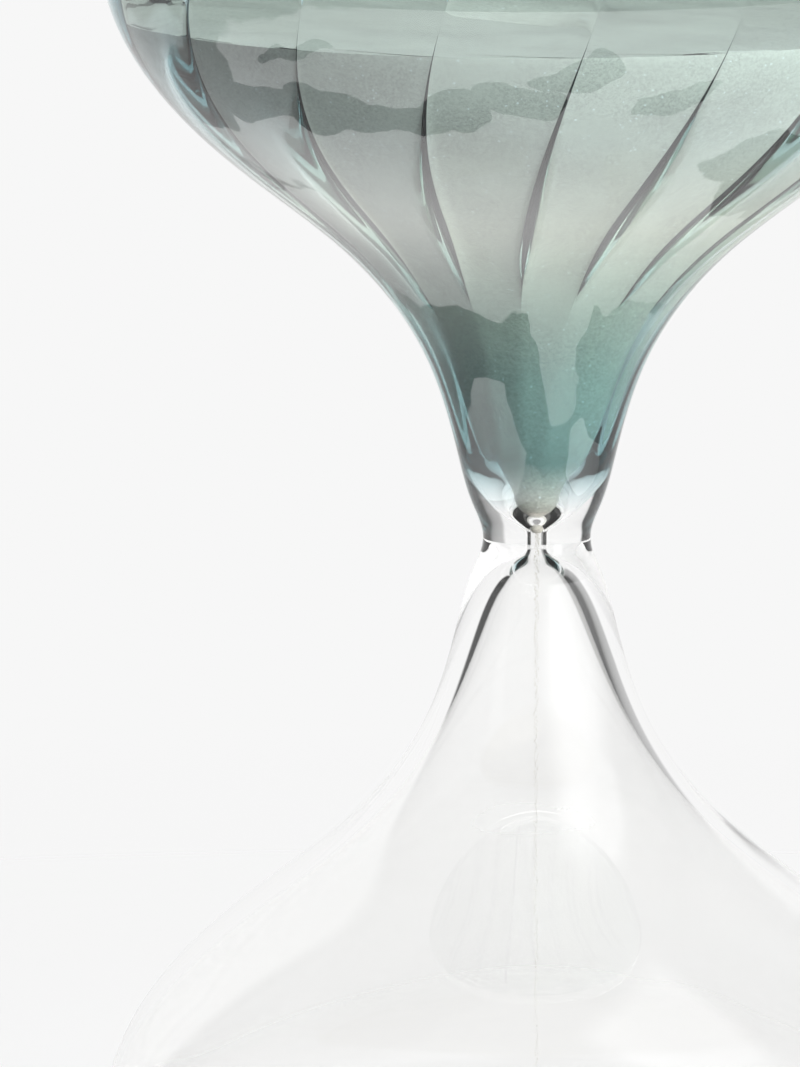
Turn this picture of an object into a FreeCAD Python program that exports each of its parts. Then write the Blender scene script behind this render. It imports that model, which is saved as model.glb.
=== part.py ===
import FreeCAD
import Part
import math
import os

# Free-standing hourglass of mouth-blown glass, in millimetres, +Z up, origin at the centre of the
# foot. Two bulbs of one outer shape are fused mouth to mouth at the neck, with no frame round them.
# The lower bulb is clear. The upper bulb is cased: clear glass outside, and inside it a thin tinted
# lining whose inner face is ribbed. Either end is a foot, so the glass stands both ways up.
# Each bulb is drawn in its own frame first: "rise" is the distance from the neck plane.

# Outside of one bulb.
HALF_HEIGHT = 120.0        # neck plane to foot plane
BELLY_RADIUS = 64.0        # widest radius
BELLY_RISE = 86.0          # neck plane to the widest radius
NECK_RADIUS = 7.9          # outside of the waist
FOOT_OUTER_RADIUS = 30.0   # ground ring that the bulb stands on
FOOT_INNER_RADIUS = 25.5
PUNT_DEPTH = 3.6           # hollow under the foot
PUNT_LAND_RADIUS = 8.0     # flat at the top of the punt

# The outline from neck to belly: share of the belly's rise, share of the gain in radius.
COLLAR = (0.058, 0.028)
FLARE = (
    (0.140, 0.065),
    (0.308, 0.148),
    (0.479, 0.337),
    (0.615, 0.594),
    (0.786, 0.868),
)
# The outline from belly to foot: share of the rise that is left, share of the loss in radius.
HEEL = (
    (0.659, 0.305),
    (0.906, 0.686),
)

# Wall of one bulb, square to its outside.
FLARE_WALLS = (3.9, 1.7, 1.9, 2.4, 1.8)
BELLY_WALL = 1.4
HEEL_WALL = 2.2            # at the first point of the heel
BASE_WALL = 3.0            # over the land of the punt
INNER_FLOOR_RADIUS = 26.0  # flat inside the base
INNER_CORNER_FULLNESS = 0.6  # how squarely the inside turns from heel to floor, 0 to 1

# The orifice that meters the sand, and the funnel that leads into it.
BORE_RADIUS = 1.0
BORE_HALF_LENGTH = 1.7     # straight part of the bore in each bulb
FUNNEL_LENGTH = 2.6        # from the end of the bore to the lip of the funnel
FUNNEL_FLARE = 1.8         # gain in radius over that length

# Tinted lining of the upper bulb. Its ribs are rounded lobes that meet in sharp creases.
LINING_WALL = 0.55         # at the creases
LINING_STEP = 0.9          # its lower edge, over the lip of the funnel
RIB_COUNT = 18
RIB_DEPTH = 1.3            # crease to crest, at the belly
RIB_START_RISE = 24.0      # the ribs grow out of the smooth throat here
RIB_FULL_RISE = 52.0
RIB_PHASE = 13.0           # turn of the first crease, degrees
RIB_TWIST_RATE = 0.3       # degrees per millimetre of rise
WALL_SECTIONS = 18         # levels that the ribbed face is drawn through, funnel to heel
CORNER_SECTIONS = 7        # and round the corner to the floor

# Sand.
SAND_GAP = 0.15            # air between sand and glass
SAND_LEVEL = 78.0          # rise of the sand's surface in the upper bulb
REPOSE_SLOPE = math.tan(math.radians(32.0))
CRATER_RADIUS = 13.0       # dimple over the orifice
PACKED_TIP_STEP = 0.7      # packed sand ends this far over the bore, and the stream begins
STREAM_CLEARANCE = 0.3     # between the stream and the bore, all round
STREAM_NARROWING = 0.2     # loss in radius by the end of its fall
HEAP_HEIGHT = 23.0         # over the inner floor of the lower bulb
HEAP_TIP_RADIUS = 4.0      # rounded top of the heap

# Stopper of the filling hole, in the foot of the lower bulb.
HOLE_RADIUS = 1.7
STOPPER_CLEARANCE = 0.05
STOPPER_HEAD_LIP = 1.9     # head over hole, all round
STOPPER_HEAD_THICKNESS = 1.2
STOPPER_EDGE = 0.3

UP = FreeCAD.Vector(0, 0, 1)
ACROSS = FreeCAD.Vector(1, 0, 0)
ORIGIN = FreeCAD.Vector(0, 0, 0)
PUNT_RISE = HALF_HEIGHT - PUNT_DEPTH
INNER_FLOOR_RISE = PUNT_RISE - BASE_WALL
NECK_PLANE = FreeCAD.Vector(0, 0, HALF_HEIGHT)
FUNNEL_RISE = BORE_HALF_LENGTH + FUNNEL_LENGTH
FUNNEL_RADIUS = BORE_RADIUS + FUNNEL_FLARE
LINING_MOUTH_RISE = FUNNEL_RISE + LINING_STEP
PACKED_TIP_RISE = BORE_HALF_LENGTH + PACKED_TIP_STEP
STREAM_TOP_RADIUS = BORE_RADIUS - STREAM_CLEARANCE


def at(radius, rise):
    """A point of an outline, which lies in the XZ plane."""
    return FreeCAD.Vector(radius, 0, rise)


def lines(*points):
    """Straight edges from point to point."""
    return [Part.makeLine(start, end) for start, end in zip(points, points[1:])]


def smooth(points, first, last):
    """A smooth curve through the points, with its direction at each end."""
    curve = Part.BSplineCurve()
    curve.interpolate(Points=points, InitialTangent=first, FinalTangent=last)
    return curve


def turned(face):
    """The solid that a flat outline sweeps round the axis."""
    return face.revolve(ORIGIN, UP, 360)


def outlined(edges):
    """The flat face inside a closed outline."""
    return Part.Face(Part.Wire(edges))


def stood_up(shape):
    """A shape drawn in a bulb's frame, as it lies in the upper bulb."""
    placed = shape.copy()
    placed.translate(NECK_PLANE)
    return placed


def turned_down(shape):
    """A shape drawn in a bulb's frame, as it lies in the lower bulb."""
    placed = shape.copy()
    placed.rotate(ORIGIN, ACROSS, 180)
    placed.translate(NECK_PLANE)
    return placed


def flare_point(share_of_rise, share_of_gain):
    """An outside point between neck and belly."""
    gain = BELLY_RADIUS - NECK_RADIUS
    return at(NECK_RADIUS + share_of_gain * gain, share_of_rise * BELLY_RISE)


def heel_point(share_of_rise, share_of_loss):
    """An outside point between belly and foot."""
    loss = BELLY_RADIUS - FOOT_OUTER_RADIUS
    return at(BELLY_RADIUS - share_of_loss * loss,
              BELLY_RISE + share_of_rise * (HALF_HEIGHT - BELLY_RISE))


def outer_curve():
    """The outside of a bulb, from the neck plane to the foot."""
    points = [at(NECK_RADIUS, 0), flare_point(*COLLAR)]
    points += [flare_point(*shares) for shares in FLARE]
    points.append(at(BELLY_RADIUS, BELLY_RISE))
    points += [heel_point(*shares) for shares in HEEL]
    points.append(at(FOOT_OUTER_RADIUS, HALF_HEIGHT))
    return smooth(points, at(0, 1), at(-1, 0.2))


def inner_edges():
    """The inside of a bulb: from the end of the bore to the heel, and round to the floor."""
    outside = outer_curve()
    walled = [flare_point(*shares) for shares in FLARE]
    walled += [at(BELLY_RADIUS, BELLY_RISE), heel_point(*HEEL[0])]
    walls = FLARE_WALLS + (BELLY_WALL, HEEL_WALL)
    points = [at(BORE_RADIUS, BORE_HALF_LENGTH), at(FUNNEL_RADIUS, FUNNEL_RISE)]
    for point, wall in zip(walled, walls):
        along = outside.tangent(outside.parameter(point))[0]
        points.append(point + at(-along.z, along.x) * wall)
    heel = points[-1]
    floor_edge = at(INNER_FLOOR_RADIUS, INNER_FLOOR_RISE)
    corner = heel + along * ((INNER_FLOOR_RISE - heel.z) / along.z)
    turn = Part.BezierCurve()
    turn.setPoles([heel, heel + (corner - heel) * INNER_CORNER_FULLNESS,
                   floor_edge + (corner - floor_edge) * INNER_CORNER_FULLNESS, floor_edge])
    return [smooth(points, at(0, 1), along).toShape(), turn.toShape()]


def bulb():
    """One bulb: its glass from outside to inside, with half of the neck and the punt."""
    punt_middle = (FOOT_INNER_RADIUS + PUNT_LAND_RADIUS) / 2
    punt = Part.Arc(at(FOOT_INNER_RADIUS, HALF_HEIGHT),
                    at(punt_middle, HALF_HEIGHT - PUNT_DEPTH * 0.7),
                    at(PUNT_LAND_RADIUS, PUNT_RISE))
    edges = lines(at(BORE_RADIUS, BORE_HALF_LENGTH), at(BORE_RADIUS, 0), at(NECK_RADIUS, 0))
    edges.append(outer_curve().toShape())
    edges += lines(at(FOOT_OUTER_RADIUS, HALF_HEIGHT), at(FOOT_INNER_RADIUS, HALF_HEIGHT))
    edges.append(punt.toShape())
    edges += lines(at(PUNT_LAND_RADIUS, PUNT_RISE), at(0, PUNT_RISE), at(0, INNER_FLOOR_RISE),
                   at(INNER_FLOOR_RADIUS, INNER_FLOOR_RISE))
    edges += inner_edges()
    return turned(outlined(edges))


def cavity_outline():
    """Half of the section of the room inside a bulb above its bore."""
    edges = inner_edges()
    edges += lines(at(INNER_FLOOR_RADIUS, INNER_FLOOR_RISE), at(0, INNER_FLOOR_RISE),
                   at(0, BORE_HALF_LENGTH), at(BORE_RADIUS, BORE_HALF_LENGTH))
    return outlined(edges)


def slab(bottom, top):
    """A round slab wider than the bulb, between two rises."""
    return Part.makeCylinder(BELLY_RADIUS * 1.2, top - bottom, at(0, bottom))


def rib_depth(rise):
    """Depth of the ribs at a rise: none in the throat, full over the belly, fading at the base."""
    growth = (rise - RIB_START_RISE) / (RIB_FULL_RISE - RIB_START_RISE)
    fading = (INNER_FLOOR_RISE - rise) / (INNER_FLOOR_RISE - BELLY_RISE)
    share = max(0.0, min(1.0, growth, fading))
    return RIB_DEPTH * share * share * (3 - 2 * share)


def ribbed_section(radius, rise):
    """One level of the ribbed room: lobes that bulge inwards and meet in creases."""
    crest = radius - rib_depth(rise)
    first = math.radians(RIB_PHASE + RIB_TWIST_RATE * rise)
    step = 2 * math.pi / RIB_COUNT

    def spot(reach, turns):
        angle = first + turns * step
        return FreeCAD.Vector(reach * math.cos(angle), reach * math.sin(angle), rise)

    lobes = [Part.Arc(spot(radius, n), spot(crest, n + 0.5), spot(radius, n + 1)).toShape()
             for n in range(RIB_COUNT)]
    return Part.Wire(lobes)


def inset_points(edge, start, count, inset):
    """Points along an edge of the inside from a parameter on, each moved into the room."""
    curve = edge.Curve
    points = curve.toShape(start, edge.LastParameter).discretize(Number=count)
    moved = []
    for point in points:
        along = curve.tangent(curve.parameter(point))[0]
        moved.append(point + at(-along.z, along.x) * inset)
    return moved


def ribbed_room(inset):
    """The room inside the upper bulb, less an inset all over, from the lip of the funnel."""
    wall, turn = inner_edges()
    lip = wall.Curve.parameter(at(FUNNEL_RADIUS, FUNNEL_RISE))
    points = inset_points(wall, lip, WALL_SECTIONS, inset)
    points += inset_points(turn, turn.FirstParameter, CORNER_SECTIONS, inset)[1:]
    return Part.makeLoft([ribbed_section(point.x, point.z) for point in points], True, False)


def upper_lining():
    """The tinted layer inside the upper bulb: a closed cup with a ribbed inner face."""
    outside = turned(cavity_outline()).common(slab(LINING_MOUTH_RISE, HALF_HEIGHT))
    return outside.cut(ribbed_room(LINING_WALL))


def throat_radius(rise):
    """Radius inside the glass of a bulb at a rise."""
    level = Part.makeLine(at(0, rise), at(BELLY_RADIUS, rise))
    return inner_edges()[0].distToShape(level)[1][0][0].x


def upper_sand():
    """The sand still to run, packed against the lining down to the orifice, with its dimple."""
    inset = LINING_WALL + SAND_GAP
    packed = ribbed_room(inset).common(slab(LINING_MOUTH_RISE, SAND_LEVEL))
    tip = Part.makeCone(STREAM_TOP_RADIUS, throat_radius(LINING_MOUTH_RISE) - 2 * inset,
                        LINING_MOUTH_RISE - PACKED_TIP_RISE, at(0, PACKED_TIP_RISE))
    depth = CRATER_RADIUS * REPOSE_SLOPE
    crater = Part.makeCone(0, CRATER_RADIUS, depth, at(0, SAND_LEVEL - depth))
    return packed.fuse(tip).cut(crater).removeSplitter()


def heap_peak_rise():
    """Where the rounded top of the heap is, in the lower bulb's frame."""
    return INNER_FLOOR_RISE - HEAP_HEIGHT


def heap_outline():
    """Half of the section of a heap at its angle of repose, with a rounded top and no end below."""
    flank_start = heap_peak_rise() + HEAP_TIP_RADIUS * REPOSE_SLOPE / 2
    reach = HEAP_TIP_RADIUS + 2 * HEAP_HEIGHT / REPOSE_SLOPE
    base_rise = flank_start + 2 * HEAP_HEIGHT
    round_top = smooth([at(0, heap_peak_rise()), at(HEAP_TIP_RADIUS, flank_start)],
                       at(1, 0), at(1, REPOSE_SLOPE))
    edges = [round_top.toShape()]
    edges += lines(at(HEAP_TIP_RADIUS, flank_start), at(reach, base_rise), at(0, base_rise),
                   at(0, heap_peak_rise()))
    return outlined(edges)


def lower_sand():
    """The heap, flat on the inner floor and trimmed a little inside the glass that holds it."""
    held = cavity_outline()
    held.scale(1 - SAND_GAP / INNER_FLOOR_RADIUS, at(0, INNER_FLOOR_RISE))
    return turned(held.common(heap_outline()).Faces[0])


def falling_sand():
    """The stream, from the packed sand through the bore to the heap, in the lower bulb's frame."""
    fall = heap_peak_rise() + PACKED_TIP_RISE
    return Part.makeCone(STREAM_TOP_RADIUS, STREAM_TOP_RADIUS - STREAM_NARROWING, fall,
                         at(0, -PACKED_TIP_RISE))


def filling_hole():
    """The hole through the base of the lower bulb."""
    return Part.makeCylinder(HOLE_RADIUS, BASE_WALL, at(0, INNER_FLOOR_RISE))


def fill_stopper():
    """The stopper: a shank in the hole and a flat head against the land of the punt."""
    shank = Part.makeCylinder(HOLE_RADIUS - STOPPER_CLEARANCE, BASE_WALL, at(0, INNER_FLOOR_RISE))
    head = Part.makeCylinder(HOLE_RADIUS + STOPPER_HEAD_LIP, STOPPER_HEAD_THICKNESS,
                             at(0, PUNT_RISE))
    rim = [edge for edge in head.Edges
           if edge.BoundBox.ZMin > PUNT_RISE + STOPPER_HEAD_THICKNESS / 2]
    return head.makeFillet(STOPPER_EDGE, rim).fuse(shank).removeSplitter()


def parts():
    """Every piece of the hourglass by its name, in the part's frame."""
    return {
        "lower_bulb": turned_down(bulb().cut(filling_hole())),
        "upper_bulb": stood_up(bulb()),
        "upper_lining": stood_up(upper_lining()),
        "upper_sand": stood_up(upper_sand()),
        "falling_sand": turned_down(falling_sand()),
        "lower_sand": turned_down(lower_sand()),
        "fill_stopper": turned_down(fill_stopper()),
    }


def main():
    """Write one STEP file for each piece."""
    os.makedirs("parts", exist_ok=True)
    for name, shape in parts().items():
        solids = shape.Solids
        piece = solids[0] if len(solids) == 1 else Part.makeCompound(solids)
        piece.exportStep("parts/" + name + ".step")
        print(name, "solids", len(solids), "valid", piece.isValid(),
              "volume", round(piece.Volume / 1000, 2), "cm3")


main()
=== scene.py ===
"""The looks of a blown-glass hourglass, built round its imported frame, in metres with +Z up.

The glass is real refracting geometry: each bulb is one closed skin with an outer and an inner
face. Faces where two pieces of glass are fused let light straight through, so that the fused
pieces act as one body of glass.
"""
import logging
import math
from collections.abc import Sequence
from dataclasses import dataclass, field, replace
from enum import Enum

import bpy
import numpy as np
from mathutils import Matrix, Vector, kdtree


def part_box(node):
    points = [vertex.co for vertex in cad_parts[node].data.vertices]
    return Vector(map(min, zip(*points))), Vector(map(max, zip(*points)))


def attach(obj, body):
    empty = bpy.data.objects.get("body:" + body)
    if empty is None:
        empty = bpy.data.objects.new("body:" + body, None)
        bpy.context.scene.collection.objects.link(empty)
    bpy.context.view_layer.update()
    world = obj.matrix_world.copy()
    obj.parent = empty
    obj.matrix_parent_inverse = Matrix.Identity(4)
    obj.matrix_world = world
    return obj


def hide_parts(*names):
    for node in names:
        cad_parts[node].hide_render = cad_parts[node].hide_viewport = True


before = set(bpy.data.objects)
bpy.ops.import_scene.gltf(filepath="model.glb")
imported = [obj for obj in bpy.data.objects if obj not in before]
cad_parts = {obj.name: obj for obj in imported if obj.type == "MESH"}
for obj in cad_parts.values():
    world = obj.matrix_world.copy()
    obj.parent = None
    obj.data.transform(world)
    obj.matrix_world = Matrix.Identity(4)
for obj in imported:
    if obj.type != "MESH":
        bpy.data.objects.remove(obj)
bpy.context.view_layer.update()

BODY = "root"
MM = 0.001
GRAVITY = 9.81
FULL_TURN = 2 * math.pi
LOG = logging.getLogger("hourglass")

SMOOTH_BELOW = 60.0
TOUCHING = 1e-6
WELD = 0.002
UPWARD = (0.0, 1.0)
LEVEL = (1.0, 1.0, 0.0)
WHITE = (1.0, 1.0, 1.0)

Point = tuple[float, float]
Triple = tuple[float, float, float]
Colour = Triple
Tones = Sequence[tuple[float, Colour]]
Material = bpy.types.Material
Socket = bpy.types.NodeSocket


# ---------------------------------------------------------------- outlines


class Face(Enum):
    """What a stretch of an outline is, which decides its material and how it is shaped."""

    OUTSIDE = 0
    INSIDE = 1
    FUSED = 2
    TOP = 3


@dataclass
class Outline:
    """A half section in millimetres: points of (radius, height), and what each stretch is."""

    points: list[Point] = field(default_factory=list)
    kinds: list[Face] = field(default_factory=list)

    def add(self, points: list[Point], kind: Face) -> None:
        """Append a stretch, whose first point may be the last one already there.

        Args:
            points: the stretch's points, in order.
            kind: what the stretch is.
        """
        for point in points:
            if self.points and math.dist(self.points[-1], point) < TOUCHING:
                continue
            self.points.append(point)
            self.kinds.append(kind)


def spline(knots: list[Point], first: Point, last: Point, step: float) -> list[Point]:
    """Points along the smooth curve through some knots.

    Args:
        knots: the points that the curve passes through.
        first: its direction at the first knot.
        last: its direction at the last knot.
        step: about how far apart the points are.

    Returns:
        Points from the first knot to the last.
    """
    places = np.array(knots)
    spans = np.linalg.norm(np.diff(places, axis=0), axis=1)
    rates = np.diff(places, axis=0) / spans[:, None]
    count = len(places)
    matrix = np.eye(count)
    right = np.zeros((count, 2))
    right[0] = np.array(first) / np.linalg.norm(first)
    right[-1] = np.array(last) / np.linalg.norm(last)
    for i in range(1, count - 1):
        before, after = spans[i - 1], spans[i]
        matrix[i, i - 1 : i + 2] = after, 2 * (before + after), before
        right[i] = 3 * (after * rates[i - 1] + before * rates[i])
    slopes = np.linalg.solve(matrix, right)
    points = [tuple(places[0])]
    for i, span in enumerate(spans):
        pieces = max(1, round(span / step))
        for u in np.arange(1, pieces + 1) / pieces:
            spot = (
                (1 + 2 * u) * (1 - u) ** 2 * places[i]
                + u * (1 - u) ** 2 * span * slopes[i]
                + u * u * (3 - 2 * u) * places[i + 1]
                + u * u * (u - 1) * span * slopes[i + 1]
            )
            points.append(tuple(spot))
    return points


def straight(start: Point, end: Point, step: float) -> list[Point]:
    """Evenly spaced points from start to end, about a step apart."""
    pieces = max(1, round(math.dist(start, end) / step))
    ends = np.array(start), np.array(end)
    return [tuple(ends[0] + (ends[1] - ends[0]) * i / pieces) for i in range(pieces + 1)]


@dataclass
class BulbForm:
    """The section of one bulb, in millimetres, as radius and rise from the neck plane."""

    half_height: float
    belly_radius: float
    belly_rise: float = 86.0
    neck_radius: float = 7.9
    foot_outer_radius: float = 30.0
    foot_inner_radius: float = 25.5
    punt_depth: float = 3.6
    punt_land_radius: float = 8.0
    base_wall: float = 3.0
    floor_radius: float = 26.0
    corner_fullness: float = 0.6
    bore_radius: float = 1.0
    bore_half_length: float = 1.7
    funnel_length: float = 2.6
    funnel_flare: float = 1.8
    hole_radius: float = 1.7
    lining_step: float = 0.9
    collar: Point = (0.058, 0.028)
    flare: tuple[Point, ...] = (
        (0.140, 0.065), (0.308, 0.148), (0.479, 0.337), (0.615, 0.594), (0.786, 0.868),
    )
    heel: tuple[Point, ...] = ((0.659, 0.305), (0.906, 0.686))
    throat: tuple[Point, ...] = ()
    foot_slope: Point = (-1.0, 0.2)
    flare_walls: tuple[float, ...] = (3.9, 1.7, 1.9, 2.4, 1.8)
    belly_wall: float = 1.4
    heel_wall: float = 2.2
    step: float = 1.0
    fine_step: float = 0.3

    def flare_point(self, share: Point) -> Point:
        """An outside point between neck and belly, from its shares of rise and gain."""
        gain = self.belly_radius - self.neck_radius
        return self.neck_radius + share[1] * gain, share[0] * self.belly_rise

    def heel_point(self, share: Point) -> Point:
        """An outside point between belly and foot, from its shares of rise and loss."""
        loss = self.belly_radius - self.foot_outer_radius
        left = self.half_height - self.belly_rise
        return self.belly_radius - share[1] * loss, self.belly_rise + share[0] * left

    def outer_knots(self) -> list[Point]:
        """The points that the outside passes through, from the neck plane to the foot."""
        knots = [(self.neck_radius, 0.0), self.flare_point(self.collar)]
        knots += [self.flare_point(share) for share in self.flare]
        knots.append((self.belly_radius, self.belly_rise))
        knots += [self.heel_point(share) for share in self.heel]
        knots.append((self.foot_outer_radius, self.half_height))
        return knots

    def outside(self) -> list[Point]:
        """The outside, from the neck plane to the foot."""
        return spline(self.outer_knots(), UPWARD, self.foot_slope, self.step)

    def floor_rise(self) -> float:
        """The rise of the floor inside the base."""
        return self.half_height - self.punt_depth - self.base_wall

    def funnel_rise(self) -> float:
        """The rise of the lip of the funnel."""
        return self.bore_half_length + self.funnel_length

    def inside(self) -> list[Point]:
        """The inside, from the end of the bore to the flat of the floor."""
        outer = np.array(spline(self.outer_knots(), UPWARD, self.foot_slope, self.fine_step / 3))
        walled = [self.flare_point(share) for share in self.flare]
        walled += [(self.belly_radius, self.belly_rise), self.heel_point(self.heel[0])]
        walls = self.flare_walls + (self.belly_wall, self.heel_wall)
        knots = [(self.bore_radius, self.bore_half_length),
                 (self.bore_radius + self.funnel_flare, self.funnel_rise()), *self.throat]
        along = np.array(UPWARD)
        for knot, wall in zip(walled, walls):
            near = int(np.argmin(np.linalg.norm(outer - knot, axis=1)))
            along = outer[near + 1] - outer[near - 1]
            along /= np.linalg.norm(along)
            knots.append((knot[0] - along[1] * wall, knot[1] + along[0] * wall))
        coarse = spline(knots, UPWARD, tuple(along), self.step)
        fine = spline(knots, UPWARD, tuple(along), self.fine_step)
        lip = self.funnel_rise() * 2
        points = [p for p in fine if p[1] < lip] + [p for p in coarse if p[1] >= lip]
        heel = np.array(knots[-1])
        edge = np.array((self.floor_radius, self.floor_rise()))
        corner = heel + along * ((self.floor_rise() - heel[1]) / along[1])
        poles = (heel, heel + (corner - heel) * self.corner_fullness,
                 edge + (corner - edge) * self.corner_fullness, edge)
        pieces = max(2, round(float(np.linalg.norm(edge - heel)) / self.step))
        for u in np.arange(1, pieces + 1) / pieces:
            weights = ((1 - u) ** 3, 3 * u * (1 - u) ** 2, 3 * u * u * (1 - u), u ** 3)
            points.append(tuple(sum(w * p for w, p in zip(weights, poles))))
        return points

    def punt(self) -> list[Point]:
        """The hollow under the foot, from the ground ring to its flat land."""
        middle = (self.foot_inner_radius + self.punt_land_radius) / 2
        top = self.half_height - self.punt_depth
        knots = [(self.foot_inner_radius, self.half_height),
                 (middle, self.half_height - self.punt_depth * 0.7),
                 (self.punt_land_radius, top)]
        return spline(knots, (-0.7, -0.5), (-1, -0.05), self.step)

    def foot(self) -> list[Point]:
        """The rounded ground ring, from outside to inside."""
        return straight((self.foot_outer_radius, self.half_height),
                        (self.foot_inner_radius, self.half_height), self.step)


# ---------------------------------------------------------------- mesh tools


def alone(piece: bpy.types.Object) -> None:
    """Make a piece the only thing selected, and active."""
    bpy.ops.object.select_all(action="DESELECT")
    piece.select_set(True)
    bpy.context.view_layer.objects.active = piece


def smooth(piece: bpy.types.Object, degrees: float = SMOOTH_BELOW) -> None:
    """Shade a piece smoothly but for edges sharper than an angle."""
    alone(piece)
    bpy.ops.object.shade_smooth_by_angle(angle=math.radians(degrees))


def coordinates(mesh: bpy.types.Mesh) -> np.ndarray:
    """The vertices of a mesh as an array of rows."""
    flat = np.empty(len(mesh.vertices) * 3)
    mesh.vertices.foreach_get("co", flat)
    return flat.reshape(-1, 3)


def move_to(mesh: bpy.types.Mesh, places: np.ndarray) -> None:
    """Put the vertices of a mesh at the rows of an array."""
    mesh.vertices.foreach_set("co", places.ravel())
    mesh.update()


def turned(name: str, outline: Outline, segments: int, closed: bool) -> bpy.types.Object:
    """Spin an outline round the axis into a smooth closed skin.

    Args:
        name: the piece's name.
        outline: the half section, in millimetres.
        segments: how many steps the spin takes.
        closed: True if the outline's last point joins its first.

    Returns:
        The new object, at the origin.
    """
    bpy.ops.object.select_all(action="DESELECT")
    start = Vector((outline.points[0][0] * MM, 0, outline.points[0][1] * MM))
    bpy.ops.mesh.primitive_plane_add(size=MM, location=(0, 0, 0))
    piece = bpy.context.object
    piece.name = name
    piece.data.name = name
    bpy.ops.object.mode_set(mode="EDIT")
    bpy.ops.mesh.merge(type="CENTER")
    bpy.ops.transform.translate(value=start)
    path = outline.points + (outline.points[:1] if closed else [])
    for before, after in zip(path, path[1:]):
        move = ((after[0] - before[0]) * MM, 0, (after[1] - before[1]) * MM)
        bpy.ops.mesh.extrude_vertices_move(TRANSFORM_OT_translate={"value": move})
    bpy.ops.mesh.select_all(action="SELECT")
    bpy.ops.mesh.spin(steps=segments, angle=FULL_TURN, center=(0, 0, 0), axis=(0, 0, 1))
    bpy.ops.mesh.select_all(action="SELECT")
    bpy.ops.mesh.remove_doubles(threshold=WELD * MM)
    bpy.ops.mesh.normals_make_consistent(inside=False)
    bpy.ops.object.mode_set(mode="OBJECT")
    smooth(piece)
    return piece


@dataclass
class Polar:
    """The vertices of a turned piece, each with its angle, radius and place on the outline."""

    places: np.ndarray
    angle: np.ndarray
    radius: np.ndarray
    station: np.ndarray

    @classmethod
    def of(cls, piece: bpy.types.Object, outline: Outline) -> "Polar":
        """Read a turned piece.

        Args:
            piece: the piece, fresh from its spin.
            outline: the outline it was spun from.

        Returns:
            Its vertices in polar form, in millimetres.
        """
        places = coordinates(piece.data) / MM
        radius = np.hypot(places[:, 0], places[:, 1])
        angle = np.arctan2(places[:, 1], places[:, 0])
        tree = kdtree.KDTree(len(outline.points))
        for index, (reach, height) in enumerate(outline.points):
            tree.insert((reach, 0, height), index)
        tree.balance()
        pairs = zip(radius, places[:, 2])
        station = np.array([tree.find((r, 0, z))[1] for r, z in pairs])
        return cls(places, angle, radius, station)

    def is_kind(self, outline: Outline, kind: Face) -> np.ndarray:
        """True for the vertices on a stretch of one kind."""
        kinds = np.array([k.value for k in outline.kinds])
        return kinds[self.station] == kind.value

    def sink(self, chosen: np.ndarray, depth: np.ndarray) -> None:
        """Move the chosen vertices towards the axis."""
        self.radius = np.where(chosen, self.radius - depth, self.radius)

    def drop(self, chosen: np.ndarray, fall: np.ndarray) -> None:
        """Move the chosen vertices down."""
        height = self.places[:, 2]
        self.places[:, 2] = np.where(chosen, height - fall, height)

    def write(self, piece: bpy.types.Object) -> None:
        """Put the angles, radii and heights back into the piece."""
        self.places[:, 0] = self.radius * np.cos(self.angle)
        self.places[:, 1] = self.radius * np.sin(self.angle)
        move_to(piece.data, self.places * MM)


def paint(piece: bpy.types.Object, outline: Outline, polar: Polar,
          finishes: dict[Face, Material]) -> None:
    """Give the faces of a turned piece the material of the stretch that they lie on.

    Args:
        piece: the turned piece.
        outline: its outline, which says what each stretch is.
        polar: its vertices in polar form.
        finishes: the material of each kind of stretch.
    """
    order = list(finishes)
    for kind in order:
        piece.data.materials.append(finishes[kind])
    fused = polar.is_kind(outline, Face.FUSED)
    inside = polar.is_kind(outline, Face.INSIDE)
    for polygon in piece.data.polygons:
        corners = list(polygon.vertices)
        if Face.FUSED in finishes and fused[corners].all():
            kind = Face.FUSED
        elif Face.INSIDE in finishes and inside[corners].any():
            kind = Face.INSIDE
        else:
            kind = Face.OUTSIDE
        polygon.material_index = order.index(kind)


# ---------------------------------------------------------------- finishes


def opaque(tone: Colour) -> tuple[float, float, float, float]:
    """A colour as a node's input holds it."""
    return (*tone, 1.0)


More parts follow.
